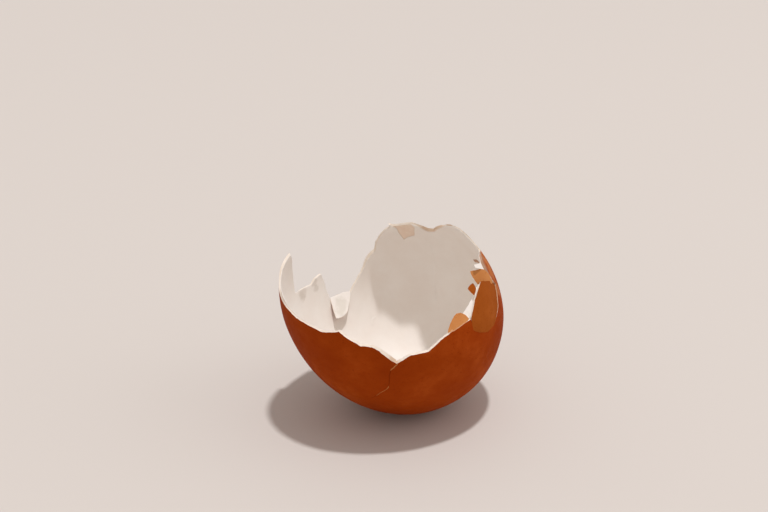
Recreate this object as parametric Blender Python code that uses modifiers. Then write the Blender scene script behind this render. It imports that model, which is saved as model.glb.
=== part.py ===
"""The blunt half of a hen's egg, cracked open, with its lining skin and five broken chips at the edge.

The egg is drawn upright, its closed end down and its opening up, then leant over to the side it rests on.
A place on the egg is a pair of angles: the bearing round its long axis, from +X towards +Y, and the polar
angle up from the closed end, which is 90 at the waist and 180 at the missing tip.
"""

import math

import bmesh
import bpy
from mathutils import Matrix, Vector, geometry

NAME = "cracked_eggshell"

# The whole egg, in metres
EGG_WIDTH = 0.0440
EGG_LENGTH = 0.0559
BLUNTNESS = 0.08  # how much fuller the closed end is than the tip
SHELL_WALL = 0.00040
SKIN_GAP = 0.00003
SKIN_WALL = 0.00009

# How it lies
LEAN = 45.0  # degrees between its long axis and the vertical
LEAN_BEARING = 218.0  # the side that the opening leans to
REST_DEPTH = 0.00022  # how much of the wall the flat rest spot takes

# How finely it is faceted
COLUMNS = 54
ROWS = 28
CUTTER_REACH = 0.003  # how far a cutter stands out on both sides of the wall
CUTTER_RING = 15.0  # degrees between the rings inside a large cutter

# The broken edge, once round the egg: (bearing, polar angle) in degrees
FRONT_RIM = (
    (183.0, 135.5),
    (199.0, 136.0),
    (210.5, 136.0),
    (227.0, 134.0),
    (236.5, 132.5),
    (244.5, 129.5),
    (258.0, 128.2),
    (262.0, 123.0),
    (266.0, 118.5),
    (271.5, 115.7),
    (273.5, 112.0),
    (274.3, 107.0),
    (276.0, 102.7),
    (284.5, 102.0),
    (289.0, 99.5),
    (293.0, 97.2),
    (301.5, 96.4),
    (307.5, 94.9),
    (320.0, 88.9),
)
PLATE_BED = (
    (317.0, 84.0),
    (318.6, 79.4),
    (322.8, 73.6),
    (329.2, 69.8),
    (341.8, 69.5),
    (348.0, 71.2),
    (353.8, 73.2),
)
RIGHT_RIM = (
    (353.2, 77.4),
    (356.2, 82.0),
    (359.5, 84.7),
    (364.0, 84.7),
    (370.5, 81.5),
    (376.7, 78.4),
    (382.5, 85.4),
    (384.5, 88.0),
)
BACK_RIM = (
    (391.5, 86.0),
    (401.5, 83.4),
    (411.5, 80.7),
    (418.5, 77.7),
    (422.6, 78.0),
    (429.0, 84.6),
    (436.0, 86.2),
    (440.2, 87.6),
    (441.0, 89.6),
    (442.0, 87.6),
    (447.0, 87.0),
    (455.5, 83.5),
    (459.5, 80.0),
    (468.0, 78.0),
    (476.0, 75.2),
    (489.5, 73.3),
)
FLAP_BED = (
    (495.3, 70.9),
    (501.2, 70.0),
    (506.4, 71.0),
    (509.8, 74.2),
    (505.4, 78.4),
)
SPLINTER = (
    (501.3, 82.0),
    (496.0, 90.0),
    (492.7, 95.1),
    (497.3, 97.2),
    (502.0, 97.7),
    (508.0, 102.1),
    (514.6, 106.4),
)
HORN = (
    (516.5, 107.9),
    (509.0, 115.2),
    (501.5, 124.8),
    (500.6, 129.5),
    (510.0, 133.0),
    (520.0, 135.0),
    (532.0, 136.0),
)
RIM = FRONT_RIM + PLATE_BED + RIGHT_RIM + BACK_RIM + FLAP_BED + SPLINTER + HORN

# The patch by the back edge where the skin is gone, with two corners beyond the edge
BARE_PATCH = (
    (428.8, 92.0),
    (428.8, 82.0),
    (431.2, 79.0),
    (433.1, 76.7),
    (437.2, 77.0),
    (441.0, 76.6),
    (440.6, 81.4),
    (439.4, 85.4),
    (439.4, 92.0),
)

# The broken chips: the outline of each in the whole egg, the two ends of the line that it hinges on, and
# the angle by which it is pushed in
CHIPS = {
    "flap_left": {
        "outline": (
            (501.0, 81.4),
            (497.8, 79.1),
            (493.7, 76.7),
            (490.8, 73.8),
            (495.0, 72.6),
            (499.1, 72.1),
            (503.3, 71.8),
            (507.1, 72.6),
            (509.6, 74.5),
            (509.6, 75.8),
            (506.2, 77.8),
            (503.0, 79.8),
        ),
        "hinge": ((500.7, 81.5), (489.7, 73.4)),
        "push": 24.0,
    },
    "plate_right": {
        "outline": (
            (321.6, 88.1),
            (331.6, 89.2),
            (341.6, 87.0),
            (345.3, 84.4),
            (349.3, 79.2),
            (352.2, 74.3),
            (347.4, 71.9),
            (341.4, 70.3),
            (329.6, 70.5),
            (323.4, 74.3),
            (319.4, 79.8),
            (317.9, 84.0),
        ),
        "hinge": ((317.8, 84.0), (329.3, 70.4)),
        "push": 2.0,
    },
    "chip_upper": {
        "outline": (
            (349.6, 90.8),
            (351.5, 88.2),
            (353.6, 86.0),
            (354.8, 83.7),
            (354.5, 81.1),
            (352.4, 78.4),
            (350.3, 80.6),
            (348.5, 83.2),
            (346.3, 85.2),
            (346.8, 86.9),
            (347.9, 88.9),
        ),
        "hinge": ((352.0, 77.6), (357.0, 84.0)),
        "push": 25.0,
    },
    "chip_small": {
        "outline": (
            (335.8, 94.2),
            (340.4, 92.6),
            (337.3, 91.1),
            (333.3, 91.3),
        ),
        "hinge": ((337.3, 91.1), (333.3, 91.3)),
        "push": 30.0,
    },
    "chip_crescent": {
        "outline": (
            (307.9, 95.6),
            (312.3, 96.0),
            (315.8, 96.3),
            (319.5, 94.6),
            (320.6, 92.0),
            (319.9, 89.5),
            (313.6, 92.6),
        ),
        "hinge": ((307.6, 94.9), (320.1, 88.6)),
        "push": 35.0,
    },
}

SHELL_BROWN = (0.34, 0.052, 0.006)
SKIN_WHITE = (0.86, 0.81, 0.76)


def fullness(polar):
    """How far the egg's outline stands off the axis, at a scale of one."""
    angle = math.radians(polar)
    return math.sin(angle) * (1 + BLUNTNESS * math.cos(angle))


PROFILE_SCALE = EGG_WIDTH / 2 / max(fullness(polar) for polar in range(70, 91))


def egg_profile(polar, depth=0.0):
    """(distance from the axis, height) of a place on the egg's outline, sunk by depth into the wall."""
    angle = math.radians(polar)
    half_length = EGG_LENGTH / 2
    radius = PROFILE_SCALE * fullness(polar)
    height = -half_length * math.cos(angle)
    along_radius = PROFILE_SCALE * (math.cos(angle) + BLUNTNESS * math.cos(2 * angle))
    along_height = half_length * math.sin(angle)
    length = math.hypot(along_radius, along_height)
    return (
        radius - depth * along_height / length,
        height + depth * along_radius / length,
    )


def egg_point(bearing, polar, depth=0.0):
    radius, height = egg_profile(polar, depth)
    turn = math.radians(bearing)
    return Vector((radius * math.cos(turn), radius * math.sin(turn), height))


def lean_matrix():
    """Leans the upright egg over and sets its rest spot on the origin."""
    bearing = math.radians(LEAN_BEARING)
    axis = Vector((-math.sin(bearing), math.cos(bearing), 0))
    lean = Matrix.Rotation(math.radians(LEAN), 4, axis)
    underside = [lean @ egg_point(LEAN_BEARING, LEAN * step / 500) for step in range(1001)]
    lowest = min(underside, key=lambda place: place.z)
    return Matrix.Translation(Vector((0, 0, -REST_DEPTH)) - lowest) @ lean


def on_map(bearing, polar):
    """A flat map of the egg, with its missing tip in the middle."""
    turn = math.radians(bearing)
    return (180 - polar) * Vector((math.cos(turn), math.sin(turn)))


def off_map(place):
    """The bearing and polar angle of a place on the flat map."""
    return math.degrees(math.atan2(place.y, place.x)), 180 - place.length


def new_collection(name):
    collection = bpy.data.collections.new(name)
    bpy.context.scene.collection.children.link(collection)
    return collection


def new_object(name, mesh, collection):
    made = bpy.data.objects.new(name, mesh)
    collection.objects.link(made)
    return made


def new_material(name, colour, roughness):
    made = bpy.data.materials.new(name)
    made.use_nodes = True
    principled = made.node_tree.nodes["Principled BSDF"]
    principled.inputs["Base Color"].default_value = (*colour, 1)
    principled.inputs["Roughness"].default_value = roughness
    principled.inputs["Metallic"].default_value = 0
    return made


def as_cutter(piece):
    piece.hide_render = True
    piece.display_type = "WIRE"
    return piece


def cut(piece, cutter, operation="DIFFERENCE"):
    boolean = piece.modifiers.new(cutter.name, "BOOLEAN")
    boolean.operation = operation
    boolean.solver = "EXACT"
    boolean.object = cutter


def turned_egg(name, depth, collection):
    """The whole egg, sunk by depth, as its outline turned about the long axis."""
    outline = [egg_profile(180 * (1 - row / ROWS), depth) for row in range(ROWS + 1)]
    points = [(radius, 0, height) for radius, height in outline]
    edges = [(row, row + 1) for row in range(ROWS)]
    mesh = bpy.data.meshes.new(name)
    mesh.from_pydata(points, edges, [])
    egg = new_object(name, mesh, collection)
    screw = egg.modifiers.new("turn", "SCREW")
    screw.steps = COLUMNS
    screw.render_steps = COLUMNS
    screw.use_smooth_shade = True
    screw.use_merge_vertices = True
    screw.merge_threshold = 0.00001
    return egg


def egg_wall(name, depth, wall, parts, cutters):
    """One layer of the whole egg's wall, from depth to depth + wall below its surface."""
    layer = turned_egg(name, depth, parts)
    inside = as_cutter(turned_egg(name + "_inside", depth + wall, cutters))
    cut(layer, inside)
    return layer


def cutter_over(name, outline, cutters):
    """A thick slab that covers the wall inside an outline, its sides square to the wall."""
    places = [on_map(*place) for place in outline]
    edges = [(i, (i + 1) % len(places)) for i in range(len(places))]
    rings = math.ceil(max(place.length for place in places) / CUTTER_RING)
    for ring in range(rings):
        count = max(1, 6 * ring)
        places += [on_map(360 * i / count, 180 - CUTTER_RING * ring) for i in range(count)]
    flat, _, faces, *_ = geometry.delaunay_2d_cdt(places, edges, [], 1, 1e-5)
    used = sorted({corner for face in faces for corner in face})
    bm = bmesh.new()
    for depth in (-CUTTER_REACH, CUTTER_REACH):
        layer = {corner: bm.verts.new(egg_point(*off_map(flat[corner]), depth)) for corner in used}
        for face in faces:
            bm.faces.new([layer[corner] for corner in face])
    border = [edge for edge in bm.edges if edge.is_boundary]
    bmesh.ops.bridge_loops(bm, edges=border)
    bmesh.ops.recalc_face_normals(bm, faces=bm.faces)
    mesh = bpy.data.meshes.new(name)
    bm.to_mesh(mesh)
    bm.free()
    return as_cutter(new_object(name, mesh, cutters))


def floor_cutter(place, cutters):
    """A block whose top is the level that the shell rests on."""
    bpy.ops.mesh.primitive_cube_add(size=EGG_WIDTH, location=(0, 0, -EGG_WIDTH / 2))
    floor = bpy.context.object
    floor.name = "floor_cutter"
    for holder in floor.users_collection:
        holder.objects.unlink(floor)
    cutters.objects.link(floor)
    floor.matrix_world = place.inverted() @ floor.matrix_world
    return as_cutter(floor)


def push_matrix(outline, hinge, angle):
    """Turns a chip about its hinge line, so that its far side goes into the egg."""
    first, second = (egg_point(*place) for place in hinge)
    middle = sum((egg_point(*place) for place in outline), Vector()) / len(outline)
    to_hinge = Matrix.Translation(first)
    turns = [
        to_hinge @ Matrix.Rotation(math.radians(side * angle), 4, second - first) @ to_hinge.inverted()
        for side in (1, -1)
    ]
    return min(turns, key=lambda turn: (turn @ middle).length)


def finish(piece, looks, place):
    """Keeps a piece as the mesh that its modifiers make, and lays it in its place."""
    graph = bpy.context.evaluated_depsgraph_get()
    mesh = bpy.data.meshes.new_from_object(piece.evaluated_get(graph))
    piece.modifiers.clear()
    piece.data = mesh
    mesh.materials.clear()
    mesh.materials.append(looks)
    mesh.shade_smooth()
    mesh.set_sharp_from_angle(angle=math.radians(30))
    piece.matrix_world = place


def main():
    for old in list(bpy.data.objects):
        bpy.data.objects.remove(old)
    parts = new_collection(NAME)
    cutters = new_collection("cutters")
    brown = new_material("brown_shell", SHELL_BROWN, 0.45)
    white = new_material("lining_skin", SKIN_WHITE, 0.55)
    place = lean_matrix()
    opening = cutter_over("opening_cutter", RIM, cutters)
    floor = floor_cutter(place, cutters)
    bare_patch = cutter_over("bare_patch_cutter", BARE_PATCH, cutters)

    shell = egg_wall("shell", 0, SHELL_WALL, parts, cutters)
    skin = egg_wall("membrane", SHELL_WALL + SKIN_GAP, SKIN_WALL, parts, cutters)
    cut(skin, bare_patch)
    for layer, looks in ((shell, brown), (skin, white)):
        cut(layer, opening)
        cut(layer, floor)
        finish(layer, looks, place)

    for name, shape in CHIPS.items():
        chip = egg_wall(name, 0, SHELL_WALL, parts, cutters)
        outline = cutter_over(name + "_outline", shape["outline"], cutters)
        cut(chip, outline, "INTERSECT")
        push = push_matrix(shape["outline"], shape["hinge"], shape["push"])
        finish(chip, brown, place @ push)


main()
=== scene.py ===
"""The looks of the cracked eggshell: its finely broken walls, its torn lining skin, and their materials.

A place on the egg is a pair of angles in degrees: the bearing round its long axis, and the polar angle up
from its closed end. The egg is worked out upright, then leant over with LEANT, as the CAD part is.
"""

import math

import bpy
import numpy as np
from mathutils import Matrix, Vector, geometry, kdtree


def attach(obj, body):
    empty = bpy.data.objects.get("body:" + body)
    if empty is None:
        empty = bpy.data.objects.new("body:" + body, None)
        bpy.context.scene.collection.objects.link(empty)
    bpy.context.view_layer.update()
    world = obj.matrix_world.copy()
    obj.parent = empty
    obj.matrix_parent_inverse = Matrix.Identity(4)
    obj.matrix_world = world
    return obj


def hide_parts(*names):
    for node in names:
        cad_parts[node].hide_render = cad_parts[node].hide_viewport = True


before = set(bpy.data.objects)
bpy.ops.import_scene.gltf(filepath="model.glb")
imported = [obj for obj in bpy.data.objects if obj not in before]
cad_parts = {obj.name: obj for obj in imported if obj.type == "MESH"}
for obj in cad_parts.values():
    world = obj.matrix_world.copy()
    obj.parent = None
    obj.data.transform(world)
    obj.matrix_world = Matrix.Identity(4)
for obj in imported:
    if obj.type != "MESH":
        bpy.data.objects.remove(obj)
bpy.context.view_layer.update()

MM = 0.001

# The egg and how it lies, as in the CAD part
EGG_WIDTH = 44.0 * MM
EGG_LENGTH = 55.9 * MM
BLUNTNESS = 0.08
SHELL_WALL = 0.40 * MM
SKIN_WALL = 0.09 * MM
LEAN = 45.0
LEAN_BEARING = 218.0
REST_DEPTH = 0.22 * MM

# The broken edge, once round the egg
FRONT_RIM = (
    (183.0, 135.5), (199.0, 136.0), (210.5, 136.0), (227.0, 134.0), (236.5, 132.5), (244.5, 129.5),
    (258.0, 128.2), (262.0, 123.0), (266.0, 118.5), (271.5, 115.7), (273.5, 112.0), (274.3, 107.0),
    (276.0, 102.7), (284.5, 102.0), (289.0, 99.5), (293.0, 97.2), (301.5, 96.4), (307.5, 94.9),
    (320.9, 88.5),
)
PLATE_BED = (
    (317.3, 84.0), (318.6, 79.4), (322.8, 73.6), (329.2, 69.8), (341.8, 69.5), (348.0, 71.2), (353.8, 73.2),
)
RIGHT_RIM = (
    (353.2, 77.4), (356.2, 82.0), (359.5, 84.7), (364.0, 84.7), (370.5, 81.5), (376.7, 78.4),
    (382.5, 85.4), (384.5, 88.0),
)
BACK_RIM = (
    (391.5, 86.0), (401.5, 83.4), (411.5, 80.7), (418.5, 77.7), (422.6, 78.0), (429.0, 84.6),
    (436.0, 86.2), (440.2, 87.6), (441.0, 89.6), (442.0, 87.6), (447.0, 87.0), (455.5, 83.5),
    (459.5, 80.0), (468.0, 78.0), (476.0, 75.2), (489.5, 73.3),
)
FLAP_BED = (
    (495.3, 70.9), (501.2, 70.0), (506.4, 71.0), (509.8, 74.2), (505.4, 78.4),
)
SPLINTER = (
    (501.3, 82.0), (496.0, 90.0), (492.7, 95.1), (497.3, 97.2), (502.0, 97.7), (508.0, 102.1),
    (514.6, 106.4),
)
HORN = (
    (516.5, 107.9), (509.0, 115.2), (501.5, 124.8), (500.6, 129.5), (510.0, 133.0), (520.0, 135.0),
    (532.0, 136.0),
)
SHELL_RIM = FRONT_RIM + PLATE_BED + RIGHT_RIM + BACK_RIM + FLAP_BED + SPLINTER + HORN

# Where the skin's edge leaves the shell's edge
TORN_SCRAP = (
    (356.2, 82.0), (354.8, 85.5), (352.9, 88.4), (351.4, 90.9), (352.6, 91.8), (355.0, 89.4),
    (357.4, 86.9), (359.5, 84.7),
)
PLATE_STRIP = (
    (320.9, 88.5), (320.9, 89.8), (321.8, 91.2), (327.6, 90.7), (333.2, 90.1), (340.0, 88.9),
    (343.2, 87.2), (347.2, 82.4), (350.4, 79.3), (354.4, 79.2),
)
BARE_PATCH = (
    (429.0, 84.6), (428.8, 82.0), (431.2, 79.0), (433.1, 76.7), (437.2, 77.0), (441.0, 76.6),
    (440.6, 81.4), (439.4, 85.4), (440.2, 87.6),
)
SKIN_RUNS = (TORN_SCRAP, PLATE_STRIP, BARE_PATCH)

# The broken chips: the outline of each in the whole egg, the two ends of the line that it hinges on, the
# degrees by which it is pushed in, how its edge slants (how far its outer side stands out past its inner
# side), and which brown it has
CHIPS = {
    "flap_left": {
        "outline": (
            (501.2, 81.8), (498.0, 79.5), (493.7, 76.8), (490.4, 73.6), (495.0, 72.4), (499.1, 71.9),
            (503.3, 71.5), (507.4, 72.4), (510.4, 74.4), (511.8, 75.8), (507.6, 78.0), (503.9, 80.0),
        ),
        "hinge": ((500.7, 81.5), (489.7, 73.4)),
        "push": 24.0,
        "slant": -0.25 * MM,
        "brown": "shell",
    },
    "plate_right": {
        "outline": (
            (321.6, 88.1), (331.6, 89.3), (338.6, 88.4), (344.2, 87.2), (347.6, 82.8), (350.8, 79.0),
            (353.2, 73.6), (347.8, 71.5), (341.6, 69.8), (329.3, 70.1), (323.0, 73.9), (318.9, 79.5),
            (317.4, 84.0),
        ),
        "hinge": ((317.8, 84.0), (329.3, 70.4)),
        "push": 1.8,
        "slant": 0.30 * MM,
        "brown": "plate",
    },
    "chip_upper": {
        "outline": (
            (349.6, 90.8), (351.5, 88.2), (353.6, 86.0), (354.8, 83.7), (354.5, 81.1), (352.4, 78.2),
            (350.9, 77.2), (349.6, 80.1), (348.1, 82.8), (345.5, 84.9), (346.5, 86.8), (347.9, 88.9),
        ),
        "hinge": ((352.0, 77.6), (357.0, 84.0)),
        "push": 25.0,
        "slant": 0.20 * MM,
        "brown": "chip",
    },
    "chip_small": {
        "outline": ((335.8, 94.2), (340.4, 92.6), (337.3, 91.1), (333.3, 91.3)),
        "hinge": ((337.3, 91.1), (333.3, 91.3)),
        "push": 30.0,
        "slant": 0.20 * MM,
        "brown": "plate",
    },
    "chip_crescent": {
        "outline": (
            (307.6, 95.7), (311.1, 95.8), (314.8, 95.7), (317.6, 95.4), (319.6, 94.8), (321.1, 93.4),
            (321.3, 91.3), (320.6, 89.4), (319.0, 89.8), (313.6, 92.6),
        ),
        "hinge": ((307.6, 94.9), (320.1, 88.6)),
        "push": 35.0,
        "slant": 0.20 * MM,
        "brown": "chip",
    },
}

# A hairline crack that runs on from the lowest notch of the front edge
FRONT_CRACK = ((276.3, 102.4), (270.2, 101.5), (262.1, 93.4), (246.3, 88.8))
# How wide it is to each side of its middle: (distance along it, half width)
CRACK_HALF_WIDTHS = (
    (0.0 * MM, 0.15 * MM), (1.8 * MM, 0.15 * MM), (2.3 * MM, 0.05 * MM), (6.8 * MM, 0.05 * MM),
    (7.2 * MM, 0.11 * MM), (12.0 * MM, 0.06 * MM),
)
# Its bed, below this share of its depth, is pale where its half width is over the second value
CRACK_BED = 0.9
CRACK_PALE = 0.065 * MM
CRACK_JAGS = ((1.3 * MM, 0.12 * MM), (0.4 * MM, 0.05 * MM))
CRACK_DEPTH = 0.13 * MM
# The wall on its lower side is lifted a little, less towards its far end
CRACK_LIFT = 0.05 * MM
CRACK_END_LIFT = 0.2
CRACK_FADE = 0.6 * MM

# Fine creases of the skin
CREASES = (
    ((67.5, 68.7), (73.0, 55.0), (86.4, 37.2)),
    ((134.0, 54.0), (137.0, 54.8), (140.5, 53.6)),
)
CREASE_HEIGHT = 0.08 * MM
CREASE_WIDTH = 0.16 * MM

# How finely the walls are made: the edge's step, then (spacing, least distance from an edge)
EDGE_STEP = 0.12 * MM
SPACINGS = ((0.17 * MM, 0.10 * MM), (0.34 * MM, 0.9 * MM), (0.66 * MM, 2.6 * MM))
# What lies inside an edge is told from one in this many of its points
COARSENESS = 4
# How a snapped edge wanders: (wavelength, size), and what share of that a chip's edge and a new run of
# the skin's edge have
SNAP = ((2.3 * MM, 0.09 * MM), (0.9 * MM, 0.07 * MM), (0.35 * MM, 0.035 * MM))
CHIP_ROUGHNESS = 0.6
RUN_ROUGHNESS = 0.6
# How many points a new run of edge is cut short by at each end, where it joins the old
JOIN_POINTS = 3
# How many points each way the directions out of an edge are eased over
EASED_POINTS = 5
# How an edge goes from the outside in: (share of the way, how far it stands out, how rough it is)
SHELL_EDGE = (
    (0.00, 0.010 * MM, 0.000 * MM), (0.10, 0.020 * MM, 0.010 * MM), (0.37, 0.030 * MM, 0.045 * MM),
    (0.68, 0.030 * MM, 0.045 * MM), (0.92, 0.015 * MM, 0.020 * MM), (1.00, 0.010 * MM, 0.000 * MM),
)
SKIN_EDGE = ((0.25, 0.030 * MM, 0.015 * MM), (0.75, 0.030 * MM, 0.015 * MM))
EDGE_GRAIN = 0.6 * MM
# How uneven a wall is: (wavelength, size, seed)
SHELL_UNEVEN = ((16 * MM, 0.030 * MM, 1), (5 * MM, 0.012 * MM, 2))
SKIN_UNEVEN = ((6 * MM, 0.012 * MM, 3), (2.4 * MM, 0.006 * MM, 4))
BACKING_UNEVEN = (1.5 * MM, 0.01 * MM, 5)
# How the snapped edge slants, round the rim: (bearing, how far its outer side stands out past its inner)
SLANT = (
    (183, -0.75 * MM), (200, -0.45 * MM), (240, -0.15 * MM), (262, -0.20 * MM), (276, -0.50 * MM),
    (290, -0.20 * MM), (305, -0.05 * MM), (308, -0.40 * MM), (318, -0.40 * MM), (321, 0.00 * MM),
    (336, 0.00 * MM), (341, -0.30 * MM), (352, -0.30 * MM), (355, -0.60 * MM), (363, -0.60 * MM),
    (368, 0.00 * MM), (385, 0.25 * MM), (405, 0.30 * MM), (415, 0.50 * MM), (425, 0.40 * MM),
    (440, 0.30 * MM), (443, 0.12 * MM), (454, 0.12 * MM), (461, 0.38 * MM), (478, 0.40 * MM),
    (489, 0.20 * MM), (500, 0.00 * MM), (510, 0.00 * MM), (515, -0.50 * MM), (520, -0.75 * MM),
    (543, -0.75 * MM),
)
# How much the slant varies by itself: (wavelength, share, seed)
SLANT_UNEVEN = (5 * MM, 0.4, 9)
# The horn has a slant of its own. It comes in between the first two bearings and between the two polar
# angles, and it goes out between the last two bearings
HORN_SLANT = 0.45 * MM
HORN_BEARINGS = (130.0, 135.0, 174.0, 186.0)
HORN_POLARS = (126.0, 130.0)
# How far the skin's torn edge stands past the inner side of the snapped edge: (bearing, distance)
SKIN_PAST = (
    (183, 0.20 * MM), (200, 0.12 * MM), (240, 0.03 * MM), (305, 0.03 * MM), (308, -0.20 * MM),
    (317, -0.20 * MM), (320, 0.03 * MM), (352, 0.03 * MM), (355, 0.20 * MM), (384, 0.30 * MM),
    (404, 0.25 * MM), (410, -0.30 * MM), (423, -0.30 * MM), (427, 0.10 * MM), (429, 0.00 * MM),
    (441, 0.00 * MM), (450, -0.10 * MM), (489, 0.00 * MM), (510, 0.05 * MM), (516, 0.03 * MM),
    (519, 0.20 * MM), (543, 0.20 * MM),
)
# How steeply it curls outward there, or inward where this is negative: (bearing, slope)
SKIN_CURL = (
    (183, 0.7), (317, 0.7), (320, -0.6), (349, -0.6), (351, 0.0), (359, 0.0), (362, 0.5), (404, 0.5),
    (450, 0.3), (543, 0.7),
)
# The skin lies close to the shell near a broken edge, and a little looser away from it
SKIN_LOOSE = 1.5 * MM
SKIN_TIGHT = 0.15
# How far round the right-hand plate the skin is drawn in with it
SKIN_TENT = 1.2 * MM
# How far a chip's edge stands out of its outline, and how far its skin's edge lies within that
CHIP_GROWTH = 0.15 * MM
BACKING_INSET = 0.03 * MM
SHARP_ANGLE = 38.0

# The parts of a wall, and their looks
OUTSIDE, EDGE, INSIDE, GROOVE = 0, 1, 2, 3
# Browns of the outside: (deep, middle, pale, speck)
SHELL_BROWNS = ((0.29, 0.038, 0.003), (0.335, 0.049, 0.004), (0.40, 0.068, 0.008), (0.22, 0.026, 0.002))
# A paler, yellower copy of the shell's browns for the plate and the small chip, painted light where they
# face the sun
SUNLIT_PLATE_BROWNS = ((0.29, 0.066, 0.008), (0.34, 0.082, 0.011), (0.39, 0.100, 0.016), (0.22, 0.042, 0.005))
# Paler tan browns for the chips pushed in towards the sun, a painted sheen of the sun on them
SHEEN_CHIP_BROWNS = ((0.49, 0.190, 0.058), (0.55, 0.235, 0.080), (0.61, 0.280, 0.108), (0.41, 0.135, 0.040))
# Soft marks are (colour, strength, places), and a place is (bearing, polar angle, depth, radius).
# On the shell: pale patches beside the plate that are a painted sheen, and a greyer stretch along the edge
# there that is a painted reflection
SHELL_PAINTED_SHEEN = (
    ((0.50, 0.185, 0.062), 0.65, (
        (8.0, 80.5, 0.0, 3.0 * MM), (1.0, 76.5, 0.0, 2.6 * MM), (353.0, 70.0, 0.0, 1.8 * MM),
    )),
    ((0.38, 0.22, 0.14), 0.6, (
        (357.0, 82.0, 0.0, 0.9 * MM), (360.0, 84.2, 0.0, 0.9 * MM), (364.0, 84.0, 0.0, 0.9 * MM),
    )),
)
FRACTURE_PALE = (0.88, 0.81, 0.72)
FRACTURE_WARM = (0.82, 0.72, 0.60)
FRACTURE_DARK = (0.62, 0.46, 0.33)
# On the snapped edge: tan by the lowest notch, tan along the back that is in part painted shade, browns
# from the crescent round the plate's bed, and a tan-grey on the right-hand rim that is painted shade
FRACTURE_TINTS_AND_SHADE = (
    ((0.66, 0.45, 0.29), 0.7, (
        (275.5, 104.0, 0.2 * MM, 1.3 * MM), (60.0, 79.3, 0.2 * MM, 1.9 * MM),
        (51.0, 81.5, 0.2 * MM, 1.9 * MM), (42.0, 84.5, 0.2 * MM, 1.6 * MM),
    )),
    ((0.52, 0.29, 0.16), 0.95, (
        (352.0, 73.0, 0.2 * MM, 1.8 * MM), (347.0, 71.0, 0.2 * MM, 1.8 * MM),
        (341.0, 69.6, 0.2 * MM, 1.8 * MM),
    )),
    ((0.34, 0.11, 0.02), 1.0, (
        (318.5, 86.0, 0.2 * MM, 1.4 * MM), (318.0, 80.5, 0.2 * MM, 2.2 * MM),
        (322.0, 74.0, 0.2 * MM, 2.2 * MM), (330.0, 69.8, 0.2 * MM, 2.6 * MM),
    )),
    ((0.58, 0.27, 0.11), 0.9, (
        (310.0, 94.2, 0.2 * MM, 1.1 * MM), (313.5, 92.6, 0.2 * MM, 1.1 * MM),
        (317.0, 91.0, 0.2 * MM, 1.1 * MM),
    )),
    ((0.40, 0.23, 0.14), 0.9, (
        (355.0, 80.5, 0.2 * MM, 1.5 * MM), (358.0, 83.5, 0.2 * MM, 1.5 * MM),
        (362.0, 84.7, 0.2 * MM, 1.5 * MM), (366.5, 83.6, 0.2 * MM, 1.3 * MM),
        (370.0, 81.8, 0.2 * MM, 1.1 * MM),
    )),
)
BARE_TAN = (0.80, 0.63, 0.50)
BARE_PALE = (0.88, 0.74, 0.62)
SKIN_PALE = (0.88, 0.845, 0.80)
SKIN_WARM = (0.84, 0.785, 0.73)
# On the skin: painted shadows on the splinter, painted shade on the left flap, and a brown fleck by the
# torn scrap
SKIN_SHADE_AND_FLECK = (
    ((0.66, 0.60, 0.535), 0.55, (
        (150.4, 101.8, 0.5 * MM, 1.5 * MM), (152.4, 101.0, 0.5 * MM, 1.2 * MM),
        (139.8, 96.6, 0.5 * MM, 1.0 * MM), (141.6, 94.0, 0.5 * MM, 0.9 * MM),
    )),
    ((0.76, 0.72, 0.655), 1.0, ((140.0, 76.0, 1.2 * MM, 1.6 * MM), (145.5, 75.0, 1.2 * MM, 1.6 * MM))),
    ((0.46, 0.25, 0.15), 1.0, (
        (34.4, 61.3, 0.5 * MM, 0.40 * MM), (32.9, 61.6, 0.5 * MM, 0.45 * MM),
        (31.4, 61.8, 0.5 * MM, 0.45 * MM), (30.2, 62.0, 0.5 * MM, 0.40 * MM),
    )),
)

# The studio
FLOOR_SIZE = 4.0
FLOOR_LEVEL = -0.02 * MM
FLOOR_COLOUR = (0.62, 0.585, 0.55)
KEY_BEARING = -42.0
KEY_HEIGHT = 81.0
KEY_SOFTNESS = 3.5
KEY_STRENGTH = 1.86
KEY_COLOUR = (1.0, 0.99, 1.0)
FILL_COLOUR = (1.0, 0.895, 0.84)
FILL_STRENGTH = 0.57
SIDE_PLACE = (0.80, -0.15, 0.45)
SIDE_SIZE = 0.7
SIDE_POWER = 1.0
CAMERA_FROM_EGG = (-0.00123, -0.23730, 0.10673)
CAMERA_PITCH = 22.0
CAMERA_LENS = 56.9

rng = np.random.default_rng(7)


# ---------------------------------------------------------------- the egg


def fullness(polar):
    return np.sin(polar) * (1 + BLUNTNESS * np.cos(polar))


PROFILE_SCALE = EGG_WIDTH / 2 / fullness(np.radians(np.arange(70, 91))).max()


def egg_slope(polar):
    """How the outline's radius and height grow with the polar angle, in radians."""
    along_radius = PROFILE_SCALE * (np.cos(polar) + BLUNTNESS * np.cos(2 * polar))
    along_height = EGG_LENGTH / 2 * np.sin(polar)
    return along_radius, along_height


def egg_points(angles, depth=0.0):
    """Places on the upright egg, from an array of (bearing, polar), sunk by depth into the wall."""
    bearing, polar = np.radians(np.asarray(angles, float)).T
    along_radius, along_height = egg_slope(polar)
    length = np.hypot(along_radius, along_height)
    radius = PROFILE_SCALE * fullness(polar) - depth * along_height / length
    height = -EGG_LENGTH / 2 * np.cos(polar) + depth * along_radius / length
    return np.column_stack((radius * np.cos(bearing), radius * np.sin(bearing), height))


def degree_sizes(angles):
    """How long a degree of bearing and a degree of polar angle are at each place."""
    polar = np.radians(np.asarray(angles, float)[:, 1])
    return np.radians(np.column_stack((PROFILE_SCALE * fullness(polar), np.hypot(*egg_slope(polar)))))


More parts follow.
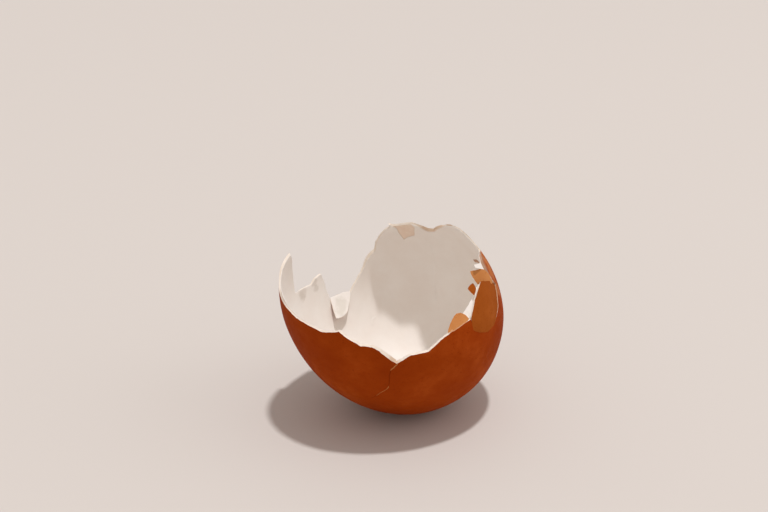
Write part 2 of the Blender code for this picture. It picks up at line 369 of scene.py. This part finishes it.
def lean_matrix():
    """Leans the upright egg over and sets its rest spot on the origin."""
    turn = math.radians(LEAN_BEARING)
    lean = Matrix.Rotation(math.radians(LEAN), 4, Vector((-math.sin(turn), math.cos(turn), 0)))
    steps = np.arange(1001) / 500
    underside = egg_points(np.column_stack((np.full(1001, LEAN_BEARING), LEAN * steps)))
    lowest = min((lean @ Vector(place) for place in underside), key=lambda place: place.z)
    return Matrix.Translation(Vector((0, 0, -REST_DEPTH)) - lowest) @ lean


LEANT = lean_matrix()


def moved(points, matrix):
    """Points turned and shifted by a matrix."""
    matrix = np.array(matrix)
    return points @ matrix[:3, :3].T + matrix[:3, 3]


def to_map(angles):
    """A flat map of the egg that keeps angles, with the closed end in the middle."""
    bearing, polar = np.radians(np.asarray(angles, float)).T
    return np.tan(polar / 2)[:, None] * np.column_stack((np.cos(bearing), np.sin(bearing)))


def from_map(places):
    x, y = np.asarray(places, float).T
    return np.degrees(np.column_stack((np.arctan2(y, x), 2 * np.arctan(np.hypot(x, y)))))


def ripple(points, wavelength, seed):
    """A smooth random field over space, mostly between -1 and 1."""
    waves = np.random.default_rng(seed)
    count = 14
    along = waves.normal(size=(count, 3))
    along /= np.linalg.norm(along, axis=1)[:, None]
    pitch = 2 * math.pi / (wavelength * waves.uniform(0.7, 1.6, count))
    phase = waves.uniform(0, 2 * math.pi, count)
    return np.sin((points @ along.T) * pitch + phase).sum(axis=1) / math.sqrt(count / 2) / 1.6


# ---------------------------------------------------------------- outlines


def step_between(before, after):
    """From one set of places to another, the short way round."""
    step = after - before
    step[:, 0] = (step[:, 0] + 180) % 360 - 180
    return step


def clockwise(outline):
    """The outline with the wall on its right, taking bearing as x and polar angle as y."""
    corners = np.array(outline, float)
    if np.ptp(corners[:, 0]) > 180:
        return corners
    x, y = corners.T
    turns_left = np.sum(x * np.roll(y, -1) - y * np.roll(x, -1)) > 0
    return corners[::-1].copy() if turns_left else corners


def across(places):
    """The direction out of the wall at each place of an edge, in lengths and not degrees."""
    ahead = step_between(np.roll(places, 1, axis=0), np.roll(places, -1, axis=0)) * degree_sizes(places)
    out = np.column_stack((-ahead[:, 1], ahead[:, 0]))
    return out / np.maximum(np.hypot(*out.T), 1e-12)[:, None]


def eased_out(edge, reach):
    """The edge moved out of the wall by a reach for each point, in directions eased round its corners."""
    steps = range(-EASED_POINTS, EASED_POINTS + 1)
    out = sum(np.roll(across(edge), step, axis=0) for step in steps) / len(steps)
    return edge + out * reach[:, None] / degree_sizes(edge)


def grown(outline, distance):
    """The outline moved out of the wall by a distance, one for all corners or one for each."""
    corners = clockwise(outline)
    sizes = degree_sizes(corners)
    before = step_between(np.roll(corners, 1, axis=0), corners) * sizes
    after = step_between(corners, np.roll(corners, -1, axis=0)) * sizes
    before /= np.hypot(*before.T)[:, None]
    after /= np.hypot(*after.T)[:, None]
    mitre = before + after
    mitre = np.column_stack((-mitre[:, 1], mitre[:, 0]))
    mitre /= np.maximum(1 + np.sum(before * after, axis=1), 0.8)[:, None]
    return corners + mitre * np.reshape(distance, (-1, 1)) / sizes


def resampled(outline, closed=True):
    """The outline with a point about every step, straight between its corners."""
    corners = np.array(outline, float)
    ahead = step_between(corners, np.roll(corners, -1, axis=0))
    lengths = np.hypot(*(ahead * degree_sizes(corners)).T)
    runs = []
    for corner, stretch, length in list(zip(corners, ahead, lengths))[: None if closed else -1]:
        count = max(1, round(length / EDGE_STEP))
        runs.append(corner + stretch * (np.arange(count) / count)[:, None])
    return np.concatenate(runs)


def wander(count, wavelength):
    """A closed broken line of random heights, with a knot about every wavelength."""
    knots = max(3, round(count * EDGE_STEP / wavelength))
    heights = rng.uniform(-1, 1, knots)
    return np.interp(np.arange(count) / count * knots, np.arange(knots + 1), np.append(heights, heights[0]))


def jags(count):
    """How far each point of a broken edge stands out of its line."""
    return sum(size * wander(count, wavelength) for wavelength, size in SNAP)


def shifted(places, offset):
    """An edge moved out of the wall by an offset, one for all points or one for each."""
    return places + across(places) * np.reshape(offset, (-1, 1)) / degree_sizes(places)


def snapped(outline, roughness=1.0):
    """The outline as a broken edge, with fine corners along it."""
    places = resampled(clockwise(outline))
    return shifted(places, jags(len(places)) * roughness)


def swapped(edge, run):
    """The edge with a new run in the place of the stretch between the run's two ends."""
    along = resampled(run, closed=False)
    along = shifted(along, RUN_ROUGHNESS * jags(len(along)))[JOIN_POINTS:-JOIN_POINTS]
    ends = [np.argmin(np.hypot(*((edge - end) * degree_sizes(edge)).T)) for end in (run[0], run[-1])]
    return np.concatenate((edge[: ends[0] + 1], along, edge[ends[1] :]))


# ---------------------------------------------------------------- patches of wall


def within(places, outline):
    """Which places of the map lie inside an outline."""
    x, y = places.T
    found = np.zeros(len(places), bool)
    for (x0, y0), (x1, y1) in zip(outline, np.roll(outline, -1, axis=0)):
        if y0 != y1:
            crosses = (y0 > y) != (y1 > y)
            found ^= crosses & (x < x0 + (y - y0) / (y1 - y0) * (x1 - x0))
    return found


def nearest(points, targets):
    """How far each point is from the closest target, and which one that is."""
    tree = kdtree.KDTree(len(targets))
    for number, target in enumerate(targets):
        tree.insert(target, number)
    tree.balance()
    found = [tree.find(point) for point in points]
    return np.array([distance for _, _, distance in found]), np.array([number for _, number, _ in found])


def rings(spacing, lowest, highest):
    """Places on the egg in staggered rings, spacing apart, between two polar angles."""
    # How far it is along the wall from the closed end, for every tenth of a degree
    polars = np.linspace(0, 179, 1791)
    steps = degree_sizes(np.column_stack((polars, polars)))[:-1, 1] * (polars[1] - polars[0])
    arc = np.concatenate(([0], np.cumsum(steps)))
    places = [np.zeros((1, 2))]
    for number, polar in enumerate(np.interp(np.arange(spacing, arc[-1], spacing), arc, polars)):
        if lowest <= polar <= highest:
            round_egg = 2 * math.pi * PROFILE_SCALE * fullness(math.radians(polar))
            count = max(6, round(round_egg / spacing))
            bearings = 360 * (np.arange(count) + number % 2 / 2) / count
            places.append(np.column_stack((bearings, np.full(count, polar))))
    return np.concatenate(places)


def largest_part(triangles):
    """The largest group of triangles that hang together by their sides."""
    triangles = triangles.tolist()
    sides = {}
    for number, (first, second, third) in enumerate(triangles):
        for side in ((first, second), (second, third), (third, first)):
            sides[side] = number
    left = set(range(len(triangles)))
    groups = []
    while left:
        found = [left.pop()]
        for number in found:
            first, second, third = triangles[number]
            for side in ((second, first), (third, second), (first, third)):
                neighbour = sides.get(side)
                if neighbour in left:
                    left.remove(neighbour)
                    found.append(neighbour)
        groups.append(found)
    return np.array([triangles[number] for number in sorted(max(groups, key=len))])


def patch(edge, lines=()):
    """The wall inside an edge as (places, triangles), which are small near the edge and near the lines."""
    fine = egg_points(np.concatenate([edge, *lines]))
    coarse_edge = to_map(edge[::COARSENESS])
    lowest = 0 if np.ptp(edge[:, 0]) > 180 else edge[:, 1].min()
    kept = [edge, *lines]
    lows = [least for _, least in SPACINGS]
    for (spacing, low), high in zip(SPACINGS, [*lows[1:], EGG_LENGTH]):
        places = rings(spacing, lowest, edge[:, 1].max())
        places = places[within(to_map(places), coarse_edge)]
        distances, _ = nearest(egg_points(places), fine)
        kept.append(places[(distances >= low) & (distances < high)])
    corners = [Vector(place) for place in to_map(np.concatenate(kept))]
    edges = [(corner, (corner + 1) % len(edge)) for corner in range(len(edge))]
    first = len(edge)
    for line in lines:
        edges += [(first + corner, first + corner + 1) for corner in range(len(line) - 1)]
        first += len(line)
    flat, _, triangles, *_ = geometry.delaunay_2d_cdt(corners, edges, [], 1, 1e-7)
    used, triangles = np.unique(largest_part(np.array(triangles)), return_inverse=True)
    return from_map([flat[corner] for corner in used]), triangles.reshape(-1, 3)


def border(triangles):
    """The corners round the edge of a patch, in order, with the patch on the right."""
    steps = np.concatenate([triangles[:, [0, 1]], triangles[:, [1, 2]], triangles[:, [2, 0]]]).tolist()
    there = set(map(tuple, steps))
    ahead = {start: end for start, end in there if (end, start) not in there}
    loops = []
    while ahead:
        start, here = ahead.popitem()
        loop = [start]
        while here != start:
            loop.append(here)
            here = ahead.pop(here)
        loops.append(loop)
    return np.array(max(loops, key=len))


def round_rim(places, table):
    """A value along the broken edge, from pairs of bearing and value that go once round the egg."""
    bearing = places[:, 0] % 360
    return np.interp(np.where(bearing < table[0][0], bearing + 360, bearing), *zip(*table))


def slants(places):
    """How far the outer side of the snapped edge stands out past its inner side, at each place."""
    bearing, polar = places.T % 360
    horn = np.interp(polar, HORN_POLARS, (0, 1)) * np.interp(bearing, HORN_BEARINGS, (0, 1, 1, 0))
    slant = round_rim(places, SLANT) * (1 - horn) + HORN_SLANT * horn
    wavelength, share, seed = SLANT_UNEVEN
    return slant * (1 - share / 2 + share * ripple(egg_points(places), wavelength, seed))


def broken_rims():
    """The broken edge of the shell, and the torn edge of the skin that follows it."""
    places = resampled(SHELL_RIM)
    edge = shifted(places, jags(len(places)))
    skin_edge = eased_out(edge, np.maximum(-slants(edge), 0) + round_rim(edge, SKIN_PAST))
    for run in SKIN_RUNS:
        skin_edge = swapped(skin_edge, run)
    return edge, skin_edge


def closed_wall(places, triangles, outer, inner, edge_shape, slant=0.0):
    """A patch as a closed wall: its points, its faces, and which part of it each face is.

    outer and inner are the depths of its two sides. edge_shape tells how its edge goes from one to the
    other: (share of the way, how far it stands out, how rough it is). slant is how far the outer side
    stands out past the inner side. The parts are OUTSIDE, EDGE and INSIDE.
    """
    loop = border(triangles)
    edge = places[loop]
    slant = np.broadcast_to(slant, len(places))[loop]
    outer = np.broadcast_to(outer, len(places))
    inner = np.broadcast_to(inner, len(places))
    points = [egg_points(places, outer), egg_points(places, inner)]
    layers = [loop]
    total = 2 * len(places)
    for number, (share, proud, rough) in enumerate(edge_shape):
        depth = outer[loop] * (1 - share) + inner[loop] * share
        stand = proud + rough * ripple(egg_points(edge), EDGE_GRAIN, number)
        stand += np.where(slant > 0, slant * (1 - share), -slant * share)
        points.append(egg_points(eased_out(edge, stand), depth))
        layers.append(np.arange(total, total + len(loop)))
        total += len(loop)
    layers.append(loop + len(places))
    faces = [triangles[:, ::-1].tolist(), (triangles + len(places)).tolist()]
    parts = [np.full(len(triangles), OUTSIDE), np.full(len(triangles), INSIDE)]
    shares = [0, *(share for share, _, _ in edge_shape), 1]
    for number, (above, below) in enumerate(zip(layers, layers[1:])):
        faces.append(np.column_stack((above, np.roll(above, -1), np.roll(below, -1), below)).tolist())
        part = OUTSIDE if shares[number + 1] == 0 else INSIDE if shares[number] == 1 else EDGE
        parts.append(np.full(len(loop), part))
    return np.concatenate(points), [face for group in faces for face in group], np.concatenate(parts)


def new_piece(name, points, faces, parts, looks):
    """A closed mesh as an object, with one look for each part."""
    mesh = bpy.data.meshes.new(name)
    mesh.from_pydata(points.tolist(), [], faces)
    for look in looks:
        mesh.materials.append(look)
    mesh.polygons.foreach_set("material_index", parts.astype(np.int32))
    mesh.shade_smooth()
    mesh.set_sharp_from_angle(angle=math.radians(SHARP_ANGLE))
    piece = bpy.data.objects.new(name, mesh)
    bpy.context.scene.collection.objects.link(piece)
    return piece


# ---------------------------------------------------------------- materials


def new_look(name):
    """A new material, its node tree and its shader."""
    look = bpy.data.materials.new(name)
    look.use_nodes = True
    return look, look.node_tree, look.node_tree.nodes["Principled BSDF"]


def node(tree, kind, inputs=None, **settings):
    """A shader node, its inputs given as numbers, colours or other nodes' outputs."""
    made = tree.nodes.new(kind)
    for setting, value in settings.items():
        setattr(made, setting, value)
    for socket, value in (inputs or {}).items():
        if isinstance(value, bpy.types.NodeSocket):
            tree.links.new(value, made.inputs[socket])
        else:
            made.inputs[socket].default_value = value
    return made


def noise(tree, place, size, detail=3.0, roughness=0.5):
    """A cloudy pattern whose blots are about size across."""
    inputs = {"Vector": place, "Scale": 1 / size, "Detail": detail, "Roughness": roughness}
    return node(tree, "ShaderNodeTexNoise", inputs).outputs["Fac"]


def fibres(tree, place, turn, squeeze, size, detail, roughness):
    """A noise drawn out along one direction, its threads about size across."""
    laid = node(tree, "ShaderNodeMapping", {"Vector": place, "Rotation": turn, "Scale": squeeze})
    return noise(tree, laid.outputs["Vector"], size, detail, roughness)


def cells(tree, place, size):
    """How far each place is from the middle of its cell, in cells about size across."""
    return node(tree, "ShaderNodeTexVoronoi", {"Vector": place, "Scale": 1 / size}).outputs["Distance"]


def ramp(tree, factor, *stops):
    """Colours against a factor: (position, colour) pairs."""
    made = node(tree, "ShaderNodeValToRGB", {"Fac": factor})
    elements = made.color_ramp.elements
    while len(elements) < len(stops):
        elements.new(0.5)
    for element, (position, colour) in zip(elements, stops):
        element.position = position
        element.color = (*colour, 1)
    return made.outputs["Color"]


def spread(tree, factor, low, high, least=0.0, most=1.0):
    """A factor between low and high, stretched to run from least to most."""
    inputs = {"Value": factor, "From Min": low, "From Max": high, "To Min": least, "To Max": most}
    return node(tree, "ShaderNodeMapRange", inputs, clamp=True).outputs["Result"]


def mixed(tree, factor, first, second):
    """One colour turned into another by a factor."""
    made = node(tree, "ShaderNodeMix", data_type="RGBA")
    for socket, value in ((0, factor), (6, first), (7, second)):
        if isinstance(value, bpy.types.NodeSocket):
            tree.links.new(value, made.inputs[socket])
        else:
            made.inputs[socket].default_value = value if socket == 0 else (*value, 1)
    return made.outputs[2]


def bumped(tree, *layers):
    """A normal from bumps laid over each other: (height, how deep in metres)."""
    normal = None
    for height, depth in layers:
        inputs = {"Height": height, "Strength": 1.0, "Distance": depth}
        if normal:
            inputs["Normal"] = normal
        normal = node(tree, "ShaderNodeBump", inputs).outputs["Normal"]
    return normal


def marked(tree, base, marks, place, cloud):
    """The base with soft ragged marks of other colours."""
    for colour, strength, spots in marks:
        for bearing, polar, depth, radius in spots:
            centre = moved(egg_points([(bearing, polar)], depth), LEANT)[0]
            apart = node(tree, "ShaderNodeVectorMath", {0: place, 1: centre}, operation="DISTANCE")
            ragged = spread(tree, cloud, 0.3, 0.7, -0.4 * radius, 0.4 * radius)
            reach = node(tree, "ShaderNodeMath", {0: apart.outputs["Value"], 1: ragged}).outputs[0]
            base = mixed(tree, spread(tree, reach, 1.3 * radius, 0.6 * radius, 0, strength), base, colour)
    return base


def brown_look(name, deep, middle, pale, speck, marks=()):
    """The matt brown outside of the shell: clouded, finely speckled and pored, with soft marks such as
    painted sheen.
    """
    look, tree, shader = new_look(name)
    place = node(tree, "ShaderNodeTexCoord").outputs["Object"]
    clouds = noise(tree, place, 9 * MM, 4, 0.55)
    blots = noise(tree, place, 1.6 * MM, 4, 0.6)
    specks = noise(tree, place, 0.45 * MM, 2)
    pores = cells(tree, place, 0.85 * MM)
    grain = noise(tree, place, 0.16 * MM, 2)
    base = ramp(tree, clouds, (0.3, deep), (0.52, middle), (0.72, pale))
    base = mixed(tree, spread(tree, blots, 0.42, 0.72, 0, 0.45), base, deep)
    base = mixed(tree, spread(tree, specks, 0.62, 0.72, 0, 0.55), base, speck)
    base = mixed(tree, spread(tree, pores, 0.16, 0.06, 0, 0.5), base, speck)
    base = marked(tree, base, marks, place, blots)
    tree.links.new(base, shader.inputs["Base Color"])
    tree.links.new(spread(tree, blots, 0.3, 0.7, 0.48, 0.64), shader.inputs["Roughness"])
    pits = spread(tree, pores, 0.04, 0.22)
    normal = bumped(tree, (blots, 0.030 * MM), (pits, 0.022 * MM), (grain, 0.012 * MM))
    tree.links.new(normal, shader.inputs["Normal"])
    shader.inputs["Specular IOR Level"].default_value = 0.01
    shader.inputs["Specular Tint"].default_value = (1.0, 0.7, 0.5, 1)
    return look


def fracture_look():
    """The granular cream face where the shell is snapped through, tanned in places, and painted with shade
    in places.
    """
    look, tree, shader = new_look("snapped_edge")
    place = node(tree, "ShaderNodeTexCoord").outputs["Object"]
    grains = noise(tree, place, 0.12 * MM, 3, 0.6)
    clouds = noise(tree, place, 2.2 * MM, 3)
    base = ramp(tree, clouds, (0.3, FRACTURE_WARM), (0.7, FRACTURE_PALE))
    base = mixed(tree, spread(tree, grains, 0.55, 0.8, 0, 0.4), base, FRACTURE_DARK)
    base = marked(tree, base, FRACTURE_TINTS_AND_SHADE, place, clouds)
    tree.links.new(base, shader.inputs["Base Color"])
    shader.inputs["Roughness"].default_value = 0.75
    tree.links.new(bumped(tree, (grains, 0.05 * MM)), shader.inputs["Normal"])
    return look


def bare_look():
    """The chalky inside of the shell where its skin is gone."""
    look, tree, shader = new_look("bare_inside")
    place = node(tree, "ShaderNodeTexCoord").outputs["Object"]
    clouds = noise(tree, place, 2.5 * MM, 4, 0.6)
    knobs = cells(tree, place, 0.18 * MM)
    base = ramp(tree, clouds, (0.3, BARE_TAN), (0.7, BARE_PALE))
    tree.links.new(base, shader.inputs["Base Color"])
    shader.inputs["Roughness"].default_value = 0.8
    tree.links.new(bumped(tree, (knobs, -0.03 * MM)), shader.inputs["Normal"])
    return look


def skin_look(name, warm, pale, marks=()):
    """The matt white lining skin: faintly blotched and finely fibrous, with soft marks such as painted
    shadow.
    """
    look, tree, shader = new_look(name)
    place = node(tree, "ShaderNodeTexCoord").outputs["Object"]
    clouds = noise(tree, place, 7 * MM, 4, 0.55)
    blots = noise(tree, place, 1.1 * MM, 4, 0.6)
    threads = fibres(tree, place, (0.6, 0.9, 0.4), (1, 1, 0.25), 0.22 * MM, 4, 0.65)
    cross_threads = fibres(tree, place, (1.5, 0.2, 1.1), (1, 0.25, 1), 0.26 * MM, 3, 0.6)
    base = ramp(tree, clouds, (0.3, warm), (0.7, pale))
    base = mixed(tree, spread(tree, blots, 0.5, 0.75, 0, 0.35), base, warm)
    base = marked(tree, base, marks, place, blots)
    tree.links.new(base, shader.inputs["Base Color"])
    tree.links.new(spread(tree, blots, 0.3, 0.7, 0.5, 0.62), shader.inputs["Roughness"])
    normal = bumped(tree, (clouds, 0.05 * MM), (threads, 0.012 * MM), (cross_threads, 0.012 * MM))
    tree.links.new(normal, shader.inputs["Normal"])
    shader.inputs["Specular IOR Level"].default_value = 0.3
    return look


# ---------------------------------------------------------------- the pieces


def on_floor(points):
    """No point goes below the floor: this presses the rest spot flat."""
    points[:, 2] = np.maximum(points[:, 2], 0)
    return points


def crack_lines():
    """The hairline crack as its middle line, its two sides without their ends, and its half width."""
    middle = resampled(FRONT_CRACK, closed=False)
    middle = shifted(middle, sum(size * wander(len(middle), wavelength) for wavelength, size in CRACK_JAGS))
    half_width = np.interp(np.arange(len(middle)) * EDGE_STEP, *zip(*CRACK_HALF_WIDTHS))
    return middle, shifted(middle, half_width)[1:-1], shifted(middle, -half_width)[1:-1], half_width


def make_shell(edge, looks):
    """The main wall, its outside gently uneven and cracked below the lowest notch."""
    middle, upper, lower, half_width = crack_lines()
    places, triangles = patch(edge, (middle[1:-1], upper, lower))
    points = egg_points(places)
    outer = sum(size * ripple(points, wavelength, seed) for wavelength, size, seed in SHELL_UNEVEN)
    away, closest = nearest(points, egg_points(middle))
    groove = np.clip(1 - away / half_width[closest], 0, 1)
    away_upper, _ = nearest(points, egg_points(upper))
    away_lower, _ = nearest(points, egg_points(lower))
    fade = np.exp(-away / CRACK_FADE) * np.interp(closest, (0, len(middle) - 1), (1, CRACK_END_LIFT))
    outer = outer - CRACK_LIFT * fade * (away_lower < away_upper) + CRACK_DEPTH * groove
    points, faces, parts = closed_wall(places, triangles, outer, SHELL_WALL, SHELL_EDGE, slants(places))
    pale = np.flatnonzero((groove > CRACK_BED) & (half_width[closest] > CRACK_PALE))
    parts[: len(triangles)][np.isin(triangles, pale).any(axis=1)] = GROOVE
    return new_piece("shell_wall", on_floor(moved(points, LEANT)), faces, parts, looks)


def push_matrix(shape):
    """Turns a chip about its hinge line, so that its far side goes into the egg."""
    first, second = (Vector(place) for place in egg_points(shape["hinge"]))
    middle = Vector(egg_points(shape["outline"]).mean(axis=0))
    to_hinge = Matrix.Translation(first)
    turns = []
    for angle in (math.radians(shape["push"]), -math.radians(shape["push"])):
        turns.append(to_hinge @ Matrix.Rotation(angle, 4, second - first) @ to_hinge.inverted())
    return min(turns, key=lambda turn: (turn @ middle).length)


def pushed(points, places, shape):
    """Points of the skin drawn in with a chip that it holds, fading round the chip."""
    turned = moved(points, push_matrix(shape))
    outline = resampled(clockwise(shape["outline"]))
    away, _ = nearest(egg_points(places), egg_points(outline))
    away[within(to_map(places), to_map(outline))] = 0
    inward = np.sum((turned - points) * (egg_points(places, MM) - egg_points(places)), axis=1) > 0
    weight = np.clip(1 - away / SKIN_TENT, 0, 1) ** 2 * inward
    return points + (turned - points) * weight[:, None]


def make_skin(edge, shell_edge, looks):
    """The lining skin: torn along the shell's edge, and drawn in with the right-hand plate."""
    creases = [resampled(crease, closed=False) for crease in CREASES]
    places, triangles = patch(edge, creases)
    flat = egg_points(places)
    relief = sum(size * (1 + ripple(flat, wavelength, seed)) for wavelength, size, seed in SKIN_UNEVEN)
    for crease in creases:
        away, _ = nearest(flat, egg_points(crease))
        relief = relief + CREASE_HEIGHT * np.exp(-((away / CREASE_WIDTH) ** 2))
    plate_edge = resampled(clockwise(CHIPS["plate_right"]["outline"]))
    away, _ = nearest(flat, egg_points(np.concatenate((shell_edge, plate_edge))))
    beyond = away.copy()
    for outline in (shell_edge, plate_edge):
        beyond[within(to_map(places), to_map(outline))] = 0
    lip = np.maximum(-slants(places), 0)
    curl = np.maximum(beyond - lip, 0) * round_rim(places, SKIN_CURL)
    loose = np.clip(away / SKIN_LOOSE, SKIN_TIGHT, 1)
    outer = SHELL_WALL + relief * loose - curl
    points, faces, parts = closed_wall(places, triangles, outer, outer + SKIN_WALL, SKIN_EDGE)
    loop = border(triangles)
    both = np.concatenate([places, places] + [places[loop]] * len(SKIN_EDGE))
    points = pushed(points, both, CHIPS["plate_right"])
    return new_piece("skin", moved(points, LEANT), faces, parts, looks)


def make_chip(name, shape, looks):
    """A broken chip of the wall, pushed in about its hinge line."""
    outline = grown(shape["outline"], CHIP_GROWTH - abs(shape["slant"]))
    places, triangles = patch(snapped(outline, CHIP_ROUGHNESS))
    flat = egg_points(places)
    outer = sum(size * ripple(flat, wavelength, seed) for wavelength, size, seed in SHELL_UNEVEN)
    points, faces, parts = closed_wall(places, triangles, outer, SHELL_WALL, SHELL_EDGE, shape["slant"])
    points = moved(moved(points, push_matrix(shape)), LEANT)
    return new_piece(name + "_wall", points, faces, parts, looks)


def make_backing(name, shape, looks):
    """The scrap of skin that still lines a chip."""
    outline = grown(shape["outline"], CHIP_GROWTH - max(shape["slant"], 0) - BACKING_INSET)
    places, triangles = patch(snapped(outline, CHIP_ROUGHNESS))
    wavelength, size, seed = BACKING_UNEVEN
    outer = SHELL_WALL + size * (1 + ripple(egg_points(places), wavelength, seed))
    points, faces, parts = closed_wall(places, triangles, outer, outer + SKIN_WALL, SKIN_EDGE)
    points = moved(moved(points, push_matrix(shape)), LEANT)
    return new_piece(name + "_skin", points, faces, parts, looks)


# The plate and chip browns are paler copies that paint the sun on them; the crack's pale bed takes the chip
# brown too
browns = {
    "shell": brown_look("brown_shell", *SHELL_BROWNS, SHELL_PAINTED_SHEEN),
    "plate": brown_look("brown_plate_painted_light", *SUNLIT_PLATE_BROWNS),
    "chip": brown_look("brown_chip_painted_sheen", *SHEEN_CHIP_BROWNS),
}
snapped_face = fracture_look()
bare_inside = bare_look()
skin_looks = (skin_look("lining_skin", SKIN_WARM, SKIN_PALE, SKIN_SHADE_AND_FLECK),) * 3

shell_edge, skin_edge = broken_rims()
shell = make_shell(shell_edge, (browns["shell"], snapped_face, bare_inside, browns["chip"]))
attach(shell, "root")
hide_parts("shell")

skin = make_skin(skin_edge, shell_edge, skin_looks)
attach(skin, "root")
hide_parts("membrane")

for name, shape in CHIPS.items():
    chip = make_chip(name, shape, (browns[shape["brown"]], snapped_face, bare_inside))
    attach(chip, "root")
    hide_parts(name)
    if name != "plate_right":
        backing = make_backing(name, shape, skin_looks)
        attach(backing, "root")


# ---------------------------------------------------------------- the studio


def make_floor():
    mesh = bpy.data.meshes.new("floor")
    half = FLOOR_SIZE / 2
    corners = ((-half, -half), (half, -half), (half, half), (-half, half))
    mesh.from_pydata([(x, y, FLOOR_LEVEL) for x, y in corners], [], [(0, 1, 2, 3)])
    floor = bpy.data.objects.new("floor", mesh)
    bpy.context.scene.collection.objects.link(floor)
    look, _, shader = new_look("pale_floor")
    shader.inputs["Base Color"].default_value = (*FLOOR_COLOUR, 1)
    shader.inputs["Roughness"].default_value = 0.8
    mesh.materials.append(look)


def make_light():
    key = bpy.data.lights.new("key", "SUN")
    key.energy = KEY_STRENGTH
    key.angle = math.radians(KEY_SOFTNESS)
    key.color = KEY_COLOUR
    lamp = bpy.data.objects.new("key", key)
    lamp.rotation_euler = (0, math.radians(90 - KEY_HEIGHT), math.radians(KEY_BEARING))
    bpy.context.scene.collection.objects.link(lamp)
    side = bpy.data.lights.new("side", "AREA")
    side.size = SIDE_SIZE
    side.energy = SIDE_POWER
    side.color = KEY_COLOUR
    panel = bpy.data.objects.new("side", side)
    panel.location = SIDE_PLACE
    panel.rotation_euler = Vector(SIDE_PLACE).to_track_quat("Z", "Y").to_euler()
    bpy.context.scene.collection.objects.link(panel)
    world = bpy.data.worlds.new("studio")
    world.use_nodes = True
    sky = world.node_tree.nodes["Background"]
    sky.inputs["Color"].default_value = (*FILL_COLOUR, 1)
    sky.inputs["Strength"].default_value = FILL_STRENGTH
    bpy.context.scene.world = world


def make_camera():
    lens = bpy.data.cameras.new("camera")
    lens.sensor_width = 36
    lens.lens = CAMERA_LENS
    camera = bpy.data.objects.new("camera", lens)
    camera.location = LEANT.translation + Vector(CAMERA_FROM_EGG)
    camera.rotation_euler = (math.radians(90 - CAMERA_PITCH), 0, 0)
    bpy.context.scene.collection.objects.link(camera)
    bpy.context.scene.camera = camera


make_floor()
make_light()
make_camera()
bpy.context.scene.view_settings.view_transform = "Standard"
